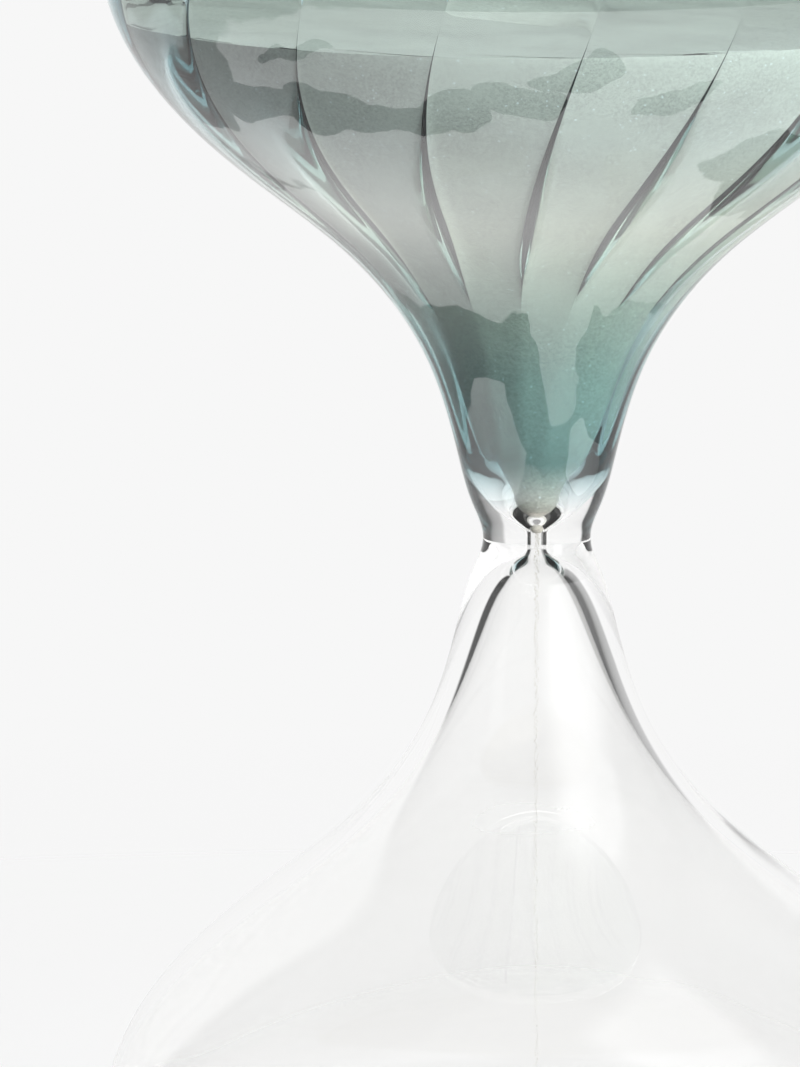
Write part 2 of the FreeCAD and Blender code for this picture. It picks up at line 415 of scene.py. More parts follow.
class Graph:
    """The shader nodes of a material or of the surroundings, added one after another."""

    def __init__(self, owner: bpy.types.Material | bpy.types.World) -> None:
        """Start with no nodes."""
        owner.use_nodes = True
        self.owner = owner
        self.tree = owner.node_tree
        self.tree.nodes.clear()

    @classmethod
    def named(cls, name: str) -> "Graph":
        """Start a material of that name."""
        return cls(bpy.data.materials.new(name))

    def node(self, kind: str, inputs: dict[str | int, object], output: str | int = 0,
             **settings: str) -> Socket:
        """Add a node.

        Args:
            kind: the node's type, without "ShaderNode".
            inputs: a value or another node's output for each input, by name or number.
            output: the name or number of the output that is wanted.
            settings: the node's own properties.

        Returns:
            The wanted output.
        """
        node = self.tree.nodes.new("ShaderNode" + kind)
        for name, value in settings.items():
            setattr(node, name, value)
        for place, value in inputs.items():
            if isinstance(value, Socket):
                self.tree.links.new(value, node.inputs[place])
            else:
                node.inputs[place].default_value = value
        return node.outputs[output]

    def math(self, operation: str, *terms: Socket | float) -> Socket:
        """Add a sum of numbers."""
        return self.node("Math", dict(enumerate(terms)), operation=operation)

    def vector(self, operation: str, *terms: Socket | Triple, output: str = "Vector") -> Socket:
        """Add a sum of vectors, whose output may be a number instead."""
        return self.node("VectorMath", dict(enumerate(terms)), output, operation=operation)

    def length(self, vector: Socket) -> Socket:
        """Add the length of a vector."""
        return self.vector("LENGTH", vector, output="Value")

    def split(self, vector: Socket) -> dict[str, Socket]:
        """Add the X, Y and Z of a vector."""
        node = self.node("SeparateXYZ", {0: vector}).node
        return {axis: node.outputs[axis] for axis in "XYZ"}

    def spot(self) -> Socket:
        """Add the place on the object."""
        return self.node("TexCoord", {}, "Object")

    def ray(self, kind: str) -> Socket:
        """Add a 1 for rays of one kind and a 0 for all others."""
        return self.node("LightPath", {}, kind)

    def scale(self, value: Socket, low: float, high: float, start: float = 0.0,
              end: float = 1.0, smooth: bool = False) -> Socket:
        """Add a number that goes from start to end while a value goes from low to high."""
        limits = {"From Min": low, "From Max": high, "To Min": start, "To Max": end}
        slope = "SMOOTHSTEP" if smooth else "LINEAR"
        return self.node("MapRange", {"Value": value, **limits}, interpolation_type=slope)

    def step(self, value: Socket, low: float, high: float, start: float = 0.0,
             end: float = 1.0) -> Socket:
        """Add such a number that leaves its start and reaches its end smoothly."""
        return self.scale(value, low, high, start, end, smooth=True)

    def ramp(self, share: Socket, tones: Tones) -> Socket:
        """Add a run of colours, each at its place between 0 and 1."""
        colour = self.node("ValToRGB", {0: share})
        elements = colour.node.color_ramp.elements
        while len(elements) < len(tones):
            elements.new(0.5)
        for element, (place, tone) in zip(elements, tones):
            element.position = place
            element.color = opaque(tone)
        return colour

    def blend(self, share: Socket, first: Socket | Colour, second: Socket | Colour) -> Socket:
        """Add a colour between two colours."""
        ends = {name: end if isinstance(end, Socket) else opaque(end)
                for name, end in (("A", first), ("B", second))}
        return self.node("Mix", {"Factor": share, **ends}, "Result", data_type="RGBA")

    def mix(self, share: Socket, first: Socket, second: Socket) -> Socket:
        """Add a finish between two finishes."""
        return self.node("MixShader", {0: share, 1: first, 2: second})

    def clear(self, tint: Socket | Colour = WHITE) -> Socket:
        """Add a finish that only tints what passes."""
        colour = tint if isinstance(tint, Socket) else opaque(tint)
        return self.node("BsdfTransparent", {"Color": colour})

    def finish(self, surface: Socket) -> Material:
        """Send a finish to the output, and give back the material that it is for."""
        kind = "World" if isinstance(self.owner, bpy.types.World) else "Material"
        output = self.tree.nodes.new("ShaderNodeOutput" + kind)
        self.tree.links.new(surface, output.inputs["Surface"])
        return self.owner


@dataclass(frozen=True)
class Glass:
    """Polished glass that lets lamps light what is inside it."""

    name: str
    tint: Colour
    lamp_tint: Colour
    bend: float = 1.5

    def polished(self, graph: Graph) -> Socket:
        """Add the glass itself, which bends and reflects light."""
        return graph.node("BsdfPrincipled", {
            "Base Color": opaque(self.tint), "Roughness": 0.0, "IOR": self.bend,
            "Transmission Weight": 1.0})

    def let_light_in(self, graph: Graph, surface: Socket) -> Socket:
        """Add a clear path through a finish for the light that falls on the sand."""
        lighting = graph.math("MAXIMUM", graph.ray("Is Shadow Ray"), graph.ray("Is Diffuse Ray"))
        return graph.mix(lighting, surface, graph.clear(self.lamp_tint))

    def material(self) -> Material:
        """Build the glass."""
        graph = Graph.named(self.name)
        return graph.finish(self.let_light_in(graph, self.polished(graph)))


@dataclass(frozen=True)
class CreaseShadeGlass:
    """Tinted glass along the rib creases, painted with near-black shade where the creases look
    dark.

    The painted shade lies in a long strip along each of them that tapers to nothing at both ends.
    """

    name: str
    ribs: "Ribs"
    glass: Glass
    # painted shade: the near-black colour along the creases
    painted_shade: Colour = (0.002, 0.004, 0.005)
    half_width: float = 0.72
    least_width: float = 0.001
    softness: float = 0.2
    start_rise: float = 38.5
    widest_rise: float = 53.0
    end_rise: float = 84.0

    def away(self, graph: Graph, spot: Socket) -> Socket:
        """Add the distance to the nearest crease, in metres."""
        axes = graph.split(spot)
        angle = graph.math("ARCTAN2", axes["Y"], axes["X"])
        rate = math.radians(self.ribs.twist_rate)
        start = math.radians(self.ribs.phase) - rate * self.ribs.neck
        untwist = graph.math("MULTIPLY_ADD", axes["Z"], -rate / MM, -start)
        half_pitch = math.pi / self.ribs.count
        nearest = graph.math("PINGPONG", graph.math("ADD", angle, untwist), half_pitch)
        radius = graph.length(graph.vector("MULTIPLY", spot, LEVEL))
        return graph.math("MULTIPLY", nearest, radius)

    def width(self, graph: Graph, spot: Socket) -> Socket:
        """Add the half width of the strip of painted shade at each height, in metres."""
        height = graph.split(spot)["Z"]
        widest = (self.ribs.neck + self.widest_rise) * MM
        sides = [graph.step(height, (self.ribs.neck + edge) * MM, widest)
                 for edge in (self.start_rise, self.end_rise)]
        share = graph.math("MULTIPLY", *sides)
        return graph.math("MULTIPLY_ADD", share, self.half_width * MM, self.least_width * MM)

    def material(self) -> Material:
        """Build the glass, with its strips of painted shade."""
        graph = Graph.named(self.name)
        spot = graph.spot()
        # painted shade: a near-black matt finish over the glass close to each crease line
        share = graph.math("DIVIDE", self.away(graph, spot), self.width(graph, spot))
        shade_mask = graph.step(share, 1.0, 1.0 - self.softness)
        painted_shade = graph.node("BsdfPrincipled", {
            "Base Color": opaque(self.painted_shade), "Roughness": 0.5, "Specular IOR Level": 0.0})
        body = graph.mix(shade_mask, self.glass.polished(graph), painted_shade)
        return graph.finish(self.glass.let_light_in(graph, body))


def fused_joint() -> Material:
    """Build the place where two pieces of glass are one: nothing bends or reflects there."""
    graph = Graph.named("fused_joint")
    return graph.finish(graph.clear())


@dataclass(frozen=True)
class FusedTint:
    """The outside of a tinted lining: strong colour where it is thick, paler where it was blown.

    It colours what passes and bends nothing.
    """

    name: str
    neck: float
    low_rise: float = 5.2
    high_rise: float = 65.0
    tones: Tones = (
        (0.0, (1.0, 1.0, 1.0)), (0.04, (0.86, 0.92, 0.93)), (0.12, (0.43, 0.61, 0.63)),
        (0.34, (0.48, 0.645, 0.65)), (0.75, (0.835, 0.89, 0.85)), (1.0, (0.80, 0.875, 0.885)),
    )

    def material(self) -> Material:
        """Build the tint, which changes between a low and a high rise."""
        graph = Graph.named(self.name)
        low, high = ((self.neck + rise) * MM for rise in (self.low_rise, self.high_rise))
        share = graph.scale(graph.split(graph.spot())["Z"], low, high)
        return graph.finish(graph.clear(graph.ramp(share, self.tones)))


@dataclass(frozen=True)
class Sand:
    """Fine pale sand: grains of a few tones, and a few glossy grains with a near-white painted
    highlight.
    """

    name: str
    tone: Colour = (0.66, 0.64, 0.565)
    dark: Colour = (0.46, 0.435, 0.39)
    # painted highlight: the near-white colour of the few glossy grains
    painted_glint_and_gloss: Colour = (0.95, 0.95, 0.93)
    grain: float = 0.26
    drift: float = 90.0
    glints: float = 0.006
    bump: float = 0.1
    bump_height: float = 0.1

    def material(self) -> Material:
        """Build the sand from a cell pattern as large as its grains."""
        graph = Graph.named(self.name)
        spot = graph.spot()
        size = 1 / (self.grain * MM)
        cells = graph.node("TexVoronoi", {"Vector": spot, "Scale": size, "Randomness": 1.0}).node
        chance = graph.node("SeparateColor", {0: cells.outputs["Color"]}).node.outputs
        drift = graph.node("TexNoise", {"Vector": spot, "Scale": self.drift, "Detail": 3.0})
        share = graph.math("MULTIPLY_ADD", chance[0], 0.55, drift)
        tone = graph.ramp(share, ((0.35, self.dark), (0.95, self.tone)))
        # the grains picked here are glossy and also get the near-white painted highlight
        painted_glint_and_gloss = graph.math("GREATER_THAN", chance[1], 1 - self.glints)
        bump = graph.node("Bump", {"Strength": self.bump, "Distance": self.bump_height * MM,
                                   "Height": cells.outputs["Distance"]})
        return graph.finish(graph.node("BsdfPrincipled", {
            "Base Color": graph.blend(painted_glint_and_gloss, tone, self.painted_glint_and_gloss),
            "Roughness": graph.scale(painted_glint_and_gloss, 0.0, 1.0, 0.85, 0.12), "Normal": bump}))


@dataclass(frozen=True)
class Silicone:
    """Milky silicone rubber with a soft, uneven sheen."""

    name: str = "silicone"
    tone: Colour = (0.72, 0.72, 0.69)
    mottle: float = 900.0
    depth: float = 2.0

    def material(self) -> Material:
        """Build the rubber."""
        graph = Graph.named(self.name)
        mottle = graph.node("TexNoise", {"Vector": graph.spot(), "Scale": self.mottle})
        return graph.finish(graph.node("BsdfPrincipled", {
            "Base Color": opaque(self.tone), "Subsurface Weight": 0.2,
            "Subsurface Radius": (self.depth * MM,) * 3,
            "Roughness": graph.scale(mottle, 0.0, 1.0, 0.38, 0.6)}))


# ---------------------------------------------------------------- glass


def ease(value: np.ndarray, low: float, high: float) -> np.ndarray:
    """A smooth step from 0 at low to 1 at high."""
    share = np.clip((value - low) / (high - low), 0, 1)
    return share * share * (3 - 2 * share)


@dataclass
class HandWork:
    """The small unevenness of blown glass, in millimetres."""

    outside: float = 0.10
    inside: float = 0.16
    full_radius: float = 30.0

    def ripple(self, angle: np.ndarray, height: np.ndarray, seed: float) -> np.ndarray:
        """A slow wave over a bulb's surface, between about -1 and 1.

        Args:
            angle: the angle round the axis of each spot.
            height: the height of each spot over the foot.
            seed: a number that tells one surface's wave from another's.

        Returns:
            The wave at each spot.
        """
        first = np.sin(2 * angle + height / 31.0 + seed)
        second = np.sin(3 * angle - height / 17.0 + 2.1 * seed)
        third = np.sin(5 * angle + height / 11.0 + 0.7 * seed)
        return 0.5 * first + 0.3 * second + 0.2 * third

    def shape(self, polar: Polar, outline: Outline) -> None:
        """Bend the outer and inner faces of a piece, leaving fused faces alone.

        Args:
            polar: the piece's vertices, which are changed.
            outline: the outline it was spun from.
        """
        height = polar.places[:, 2]
        away = np.clip(polar.radius / self.full_radius, 0, 1)
        wave = self.outside * away * self.ripple(polar.angle, height, 0.4)
        polar.sink(polar.is_kind(outline, Face.OUTSIDE), np.abs(wave))
        wave = self.inside * away * self.ripple(polar.angle, height, 2.9)
        polar.sink(polar.is_kind(outline, Face.INSIDE), -wave)


@dataclass
class Ribs:
    """Optic ribs on the inner face of the lining: rounded lobes that meet in sharp creases."""

    neck: float
    count: int = 18
    crease_depth: float = 1.45
    crease_width: float = 0.9
    crowding: float = 2.4
    lobe_depth: float = 0.3
    lobe_start: float = 9.0
    lobe_clear: float = 17.0
    faint_share: float = 0.4
    wall: float = 0.4
    start_rise: float = 34.0
    full_rise: float = 49.0
    easing_rise: float = 50.0
    eased_rise: float = 76.0
    eased_share: float = 0.14
    fade_rise: float = 86.0
    floor_rise: float = 113.4
    phase: float = 12.0
    twist_rate: float = 0.3

    def lobe_at(self, rise: np.ndarray) -> np.ndarray:
        """Depth of the lobes at each rise: faint in the throat, full over the belly."""
        strength = ease(rise, self.start_rise, self.full_rise)
        growth = self.faint_share + (1 - self.faint_share) * strength
        growth = growth * ease(rise, self.lobe_start, self.lobe_clear)
        return self.lobe_depth * growth * (1 - ease(rise, self.fade_rise, self.floor_rise))

    def crease_at(self, rise: np.ndarray) -> np.ndarray:
        """Depth of the creases at each rise: sharpest under the belly, softer above."""
        growth = ease(rise, self.start_rise, self.full_rise)
        easing = ease(rise, self.easing_rise, self.eased_rise)
        fading = ease(rise, self.fade_rise, self.floor_rise)
        return self.crease_depth * growth * (1 - (1 - self.eased_share) * easing) * (1 - fading)

    def turn_at(self, rise: np.ndarray) -> np.ndarray:
        """Angle of the first crease at each rise."""
        return np.radians(self.phase + self.twist_rate * rise)

    def pull(self, polar: Polar, chosen: np.ndarray, rise: np.ndarray) -> None:
        """Twist the chosen vertices with the ribs, crowd them to the creases and form the lobes.

        Args:
            polar: the piece's vertices, which are changed.
            chosen: True for the vertices on the ribbed face.
            rise: the rise of each vertex from the neck plane.
        """
        pitch = FULL_TURN / self.count
        turns = polar.angle / pitch
        nearest = np.round(turns)
        offset = turns - nearest
        crowded = np.sign(offset) * (np.abs(2 * offset) ** self.crowding) / 2
        angle = (nearest + crowded) * pitch + self.turn_at(rise)
        away = np.abs(crowded) * pitch * polar.radius
        groove = 1 - np.exp(-away / self.crease_width)
        lobe = np.sin(math.pi * np.abs(crowded)) ** 2
        depth = self.crease_at(rise) * groove + self.lobe_at(rise) * lobe
        polar.angle = np.where(chosen, angle, polar.angle)
        polar.sink(chosen, depth)


def inset(points: list[Point], gap: float, thin_rise: float | None = None) -> list[Point]:
    """An outline moved into the room, square to itself.

    Args:
        points: the inside of a bulb, from the neck to the floor.
        gap: how far it moves.
        thin_rise: the rise where the gap starts from almost nothing, if it does so at all.

    Returns:
        The moved points.
    """
    reach, least = 6.0, 0.04
    places = np.array(points)
    along = np.gradient(places, axis=0)
    along /= np.linalg.norm(along, axis=1)[:, None]
    growth = np.ones(len(places))
    if thin_rise is not None:
        growth = least + (1 - least) * ease(places[:, 1], thin_rise, thin_rise + reach)
    inward = np.stack((-along[:, 1], along[:, 0]), axis=1)
    moved = places + inward * (gap * growth)[:, None]
    return [tuple(row) for row in moved]


@dataclass
class GlassWork:
    """Both bulbs and the lining, each a closed skin that stands for its own CAD node."""

    form: BulbForm
    neck: float
    ribs: Ribs
    hand: HandWork = field(default_factory=HandWork)
    segments: int = 144
    rib_segments: int = 270
    crease_reach: float = 1.0

    def up(self, points: list[Point]) -> list[Point]:
        """Outline points of the upper bulb, from radius and rise."""
        return [(r, self.neck + rise) for r, rise in points]

    def down(self, points: list[Point]) -> list[Point]:
        """Outline points of the lower bulb, from radius and rise."""
        return [(r, self.neck - rise) for r, rise in points]

    def bore(self) -> list[Point]:
        """The straight bore of one bulb, from its end to the neck plane."""
        return straight((self.form.bore_radius, self.form.bore_half_length),
                        (self.form.bore_radius, 0.0), self.form.fine_step)

    def cap(self) -> list[Point]:
        """The fused ring at the neck plane, from the bore outwards."""
        return straight((self.form.bore_radius, 0.0), (self.form.neck_radius, 0.0), 2.0)

    def land(self, reach: float) -> list[Point]:
        """The flat of the punt, from its rim to a radius."""
        rise = self.form.half_height - self.form.punt_depth
        return straight((self.form.punt_land_radius, rise), (reach, rise), 2.0)

    def floor(self, reach: float = 0.0) -> list[Point]:
        """The flat floor inside the base, from a radius to its rim."""
        rise = self.form.floor_rise()
        return straight((reach, rise), (self.form.floor_radius, rise), 3.0)

    def outside(self) -> list[Point]:
        """The outside of one bulb, from the neck plane over the foot to the flat of the punt."""
        return self.form.outside() + self.form.foot() + self.form.punt()

    def mouth(self) -> float:
        """The rise where the lining starts."""
        return self.form.funnel_rise() + self.form.lining_step

    def lower(self, glass: Material, fused: Material) -> bpy.types.Object:
        """Build the clear lower bulb, with its filling hole.

        Args:
            glass: the clear glass.
            fused: the material of the fused neck.

        Returns:
            The bulb.
        """
        hole = self.form.hole_radius
        land, floor = self.land(hole), self.floor(hole)
        outline = Outline()
        outline.add(self.down(self.cap()), Face.FUSED)
        outline.add(self.down(self.outside() + land), Face.OUTSIDE)
        outline.add(self.down(straight(land[-1], floor[0], 1.0)), Face.OUTSIDE)
        outline.add(self.down(floor + self.form.inside()[::-1] + self.bore()[:-1]), Face.INSIDE)
        piece = turned("lower_bulb_glass", outline, self.segments, closed=True)
        self.dress(piece, outline, glass, fused)
        return piece

    def upper(self, glass: Material, fused: Material) -> bpy.types.Object:
        """Build the clear outer layer of the upper bulb.

        Args:
            glass: the clear glass.
            fused: the material of the neck and of the face under the lining.

        Returns:
            The bulb.
        """
        inside = self.form.inside()
        bare = [point for point in inside if point[1] <= self.mouth()]
        backed = [point for point in inside if point[1] > self.mouth()]
        outline = Outline()
        outline.add(self.up(self.floor() + backed[::-1]), Face.FUSED)
        outline.add(self.up(bare[::-1] + self.bore()[:-1]), Face.INSIDE)
        outline.add(self.up(self.cap()), Face.FUSED)
        outline.add(self.up(self.outside() + self.land(0.0)), Face.OUTSIDE)
        piece = turned("upper_bulb_glass", outline, self.segments, closed=False)
        self.dress(piece, outline, glass, fused)
        return piece

    def lining(self, tinted: Material, fused: Material, crease: Material) -> bpy.types.Object:
        """Build the tinted lining, fused outside and ribbed inside.

        Args:
            tinted: the glass of its free inner face.
            fused: the material of the face that is fused to the clear layer.
            crease: the glass along the creases, which carries painted shade.

        Returns:
            The lining.
        """
        backed = [point for point in self.form.inside() if point[1] > self.mouth()]
        floor = self.floor()
        wall = inset(backed + floor[-2::-1], self.ribs.wall, self.mouth())
        wall[-1] = (0.0, wall[-1][1])
        outline = Outline()
        outline.add(self.up(floor + backed[::-1]), Face.FUSED)
        outline.add(self.up(wall), Face.INSIDE)
        piece = turned("upper_lining_glass", outline, self.rib_segments, closed=False)
        polar = Polar.of(piece, outline)
        chosen = polar.is_kind(outline, Face.INSIDE)
        self.ribs.pull(polar, chosen, polar.places[:, 2] - self.neck)
        paint(piece, outline, polar, {Face.INSIDE: tinted, Face.FUSED: fused})
        polar.write(piece)
        smooth(piece)
        self.mark_creases(piece, crease)
        return piece

    def mark_creases(self, piece: bpy.types.Object, crease: Material) -> None:
        """Give the ribbed faces beside the creases a glass of their own, which carries painted
        shade.

        Args:
            piece: the lining, in its final shape.
            crease: the glass along the creases, which carries painted shade.
        """
        piece.data.materials.append(crease)
        slot = len(piece.data.materials) - 1
        pitch = FULL_TURN / self.ribs.count
        for polygon in piece.data.polygons:
            middle = polygon.center / MM
            rise = middle.z - self.neck
            ribbed = self.ribs.start_rise < rise < self.ribs.fade_rise
            if polygon.material_index != 0 or not ribbed:
                continue
            turn = math.atan2(middle.y, middle.x) - self.ribs.turn_at(np.array(rise))
            offset = abs((turn / pitch + 0.5) % 1.0 - 0.5) * pitch
            if offset * math.hypot(middle.x, middle.y) < self.crease_reach:
                polygon.material_index = slot

    def dress(self, piece: bpy.types.Object, outline: Outline, glass: Material,
              fused: Material) -> None:
        """Give a bulb its materials and its hand-made shape."""
        polar = Polar.of(piece, outline)
        paint(piece, outline, polar,
              {Face.OUTSIDE: glass, Face.INSIDE: glass, Face.FUSED: fused})
        self.hand.shape(polar, outline)
        polar.write(piece)


# ---------------------------------------------------------------- sand


@dataclass
class SandWork:
    """The sand: what is still to run, the falling grains and the heap."""

    form: BulbForm
    neck: float
    ribs: Ribs
    gap: float = 0.10
    side_gap: float = 0.3
    seam: float = 0.2
    segments: int = 270
    level: float = 78.0
    dish_depth: float = 6.0
    dish_radius: float = 9.0
    top_wave: float = 0.25
    repose: float = math.tan(math.radians(32.0))
    crown_radius: float = 4.0
    crown_drop: float = 1.25
    rest_gap: float = 0.02
    rim_gap: float = 0.5
    contact_height: float = 12.0
    heap_waves: tuple[float, float] = (0.35, 0.2)
    grains: int = 600
    grain_radius: float = 0.075
    stream_radius: float = 0.42
    stream_narrowing: float = 0.15
    start_speed: float = 0.12
    seed: int = 7

    def charge(self, sand: Material) -> bpy.types.Object:
        """Build the sand in the upper bulb, which follows the ribs of the lining."""
        form = self.form
        tip = form.bore_half_length + self.side_gap
        mouth = form.funnel_rise() + form.lining_step
        inside = form.inside()
        bare = [p for p in inset(inside, self.gap) if tip < p[1] < mouth - self.seam]
        backed = [p for p in inside if p[1] > mouth + self.seam]
        wall = inset(inset(backed, self.ribs.wall, mouth), self.gap)
        wall = [point for point in wall if point[1] < self.level]
        edge = wall[-1][0] + self.gap * 0.8
        top = straight((edge - self.side_gap, self.level), (0.0, self.level), 1.0)
        nib = [(0.0, tip - 0.3), (0.6, tip - 0.2)]
        outline = Outline()
        for stretch, kind in ((nib + bare, Face.OUTSIDE),
                              (wall + [(edge, self.level)], Face.INSIDE), (top, Face.TOP)):
            outline.add([(r, self.neck + rise) for r, rise in stretch], kind)
        piece = turned("upper_sand_charge", outline, self.segments, closed=False)
        polar = Polar.of(piece, outline)
        rise = polar.places[:, 2] - self.neck
        self.ribs.pull(polar, polar.is_kind(outline, Face.INSIDE), rise)
        self.ruffle(polar, polar.is_kind(outline, Face.TOP), edge)
        polar.write(piece)
        piece.data.materials.append(sand)
        return piece

    def ruffle(self, polar: Polar, chosen: np.ndarray, edge: float) -> None:
        """Dish the top of the sand over the orifice and lay slow waves on it.

        Args:
            polar: the sand's vertices, which are changed.
            chosen: True for the vertices of the top.
            edge: the radius of the top.
        """
        share = np.clip(polar.radius / edge, 0, 1)
        polar.sink(chosen, self.ribs.lobe_at(np.array(self.level)) * share)
        dish = self.dish_depth * np.exp(-((polar.radius / self.dish_radius) ** 2))
        waves = self.top_wave * np.sin(3 * polar.angle + polar.radius / 6.0)
        polar.drop(chosen, dish - waves * share * (1 - share) * 4)

    def heap(self, sand: Material) -> bpy.types.Object:
        """Build the heap in the lower bulb."""
        rim = self.form.floor_radius
        low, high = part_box("lower_sand")
        peak = high[2] / MM
        floor = low[2] / MM + self.rest_gap
        shoulder = (self.crown_radius, peak - self.crown_drop)
        held = [(r - self.side_gap, self.neck - rise) for r, rise in self.form.inside()]
        flank = [(r, z) for r, z in held if z < floor + self.contact_height
                 and z < shoulder[1] - (r - shoulder[0]) * self.repose]
        contact = flank[0]
        crown = spline([shoulder, (0.0, peak)], (-1, self.repose), (-1, 0), 0.5)
        outline = Outline()
        outline.add(straight((0.0, floor), (rim - self.rim_gap, floor), 3.0), Face.OUTSIDE)
        outline.add([point for point in flank[::-1] if point[0] > rim], Face.OUTSIDE)
        outline.add(straight(contact, shoulder, 1.0)[1:] + crown, Face.TOP)
        piece = turned("lower_sand_heap", outline, self.segments // 2, closed=False)
        polar = Polar.of(piece, outline)
        share = np.clip(polar.radius / contact[0], 0, 1)
        wave = (self.heap_waves[0] * np.sin(4 * polar.angle + 1.3)
                + self.heap_waves[1] * np.sin(7 * polar.angle + share * 9))
        polar.drop(polar.is_kind(outline, Face.TOP), np.abs(wave * share * (1 - share) * 4))
        polar.write(piece)
        piece.data.materials.append(sand)
        return piece

    def stream(self, sand: Material) -> bpy.types.Object:
        """Build the falling grains, which spread out as they gain speed."""
        low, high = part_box("falling_sand")
        top, bottom = high[2], low[2]
        rng = np.random.default_rng(self.seed)
        bpy.ops.object.select_all(action="DESELECT")
        bpy.ops.mesh.primitive_ico_sphere_add(subdivisions=1, radius=self.grain_radius * MM)
        grain = bpy.context.object
        shape = coordinates(grain.data)
        faces = [tuple(polygon.vertices) for polygon in grain.data.polygons]
        bpy.data.objects.remove(grain)
        speed = self.start_speed
        end_speed = math.sqrt(speed**2 + 2 * GRAVITY * (top - bottom))
        fall_time = (end_speed - speed) / GRAVITY
        places, corners = [], []
        for number in range(self.grains):
            time = fall_time * (number + rng.random()) / self.grains
            drop = speed * time + GRAVITY * time * time / 2
            share = drop / (top - bottom)
            width = self.stream_radius - self.stream_narrowing * share
            reach = width * MM * math.sqrt(rng.random())
            turn = FULL_TURN * rng.random()
            height = min(top - drop, top - self.seam * MM)
            height = max(height, bottom + self.seam * MM)
            centre = np.array((reach * math.cos(turn), reach * math.sin(turn), height))
            size = 0.75 + 0.5 * rng.random(3)
            corners += [tuple(v + len(places) * len(shape) for v in f) for f in faces]
            places.append(centre + shape * size)
        mesh = bpy.data.meshes.new("falling_sand_grains")
        mesh.from_pydata(np.concatenate(places).tolist(), [], corners)
        piece = bpy.data.objects.new("falling_sand_grains", mesh)
        bpy.context.scene.collection.objects.link(piece)
        piece.data.materials.append(sand)
        return piece


# ---------------------------------------------------------------- stopper


@dataclass
class StopperWork:
    """The silicone stopper of the filling hole."""

    lip: float = 1.9
    thickness: float = 1.2
    clearance: float = 0.05
    segments: int = 48
    sharpest: float = 50.0

    def build(self, form: BulbForm, rubber: Material) -> bpy.types.Object:
        """Turn the stopper: a shank, a rounded head and a small pull dimple."""
        low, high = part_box("fill_stopper")
        bottom, top = low[2] / MM, high[2] / MM
        land = bottom + self.thickness
        head = form.hole_radius + self.lip
        shank = form.hole_radius - self.clearance
        end = [(0.0, top), (shank - 0.3, top), (shank, top - 0.3), (shank, land)]
        rim = [(head - 0.2, land), (head, land - 0.25), (head, bottom + 0.45),
               (head - 0.15, bottom + 0.12), (head - 0.5, bottom)]
        dimple = [(1.3, bottom), (1.0, bottom + 0.12), (0.5, bottom + 0.3), (0.0, bottom + 0.34)]
        outline = Outline()
        outline.add(end + rim + dimple, Face.OUTSIDE)
        piece = turned("fill_stopper_plug", outline, self.segments, closed=False)
        smooth(piece, self.sharpest)
        piece.data.materials.append(rubber)
        return piece


# ---------------------------------------------------------------- studio


def only_in_polish(card: bpy.types.Object) -> None:
    """Hide a card from all but mirror reflections."""
    card.visible_camera = False
    card.visible_diffuse = False
    card.visible_transmission = False
    card.visible_volume_scatter = False
    card.visible_shadow = False


@dataclass(frozen=True)
class Lamp:
    """A soft lamp that faces the hourglass, and the glow that its polish shows, in metres."""

    name: str
    place: Triple
    size: tuple[float, float]
    watts: float
    glow: float


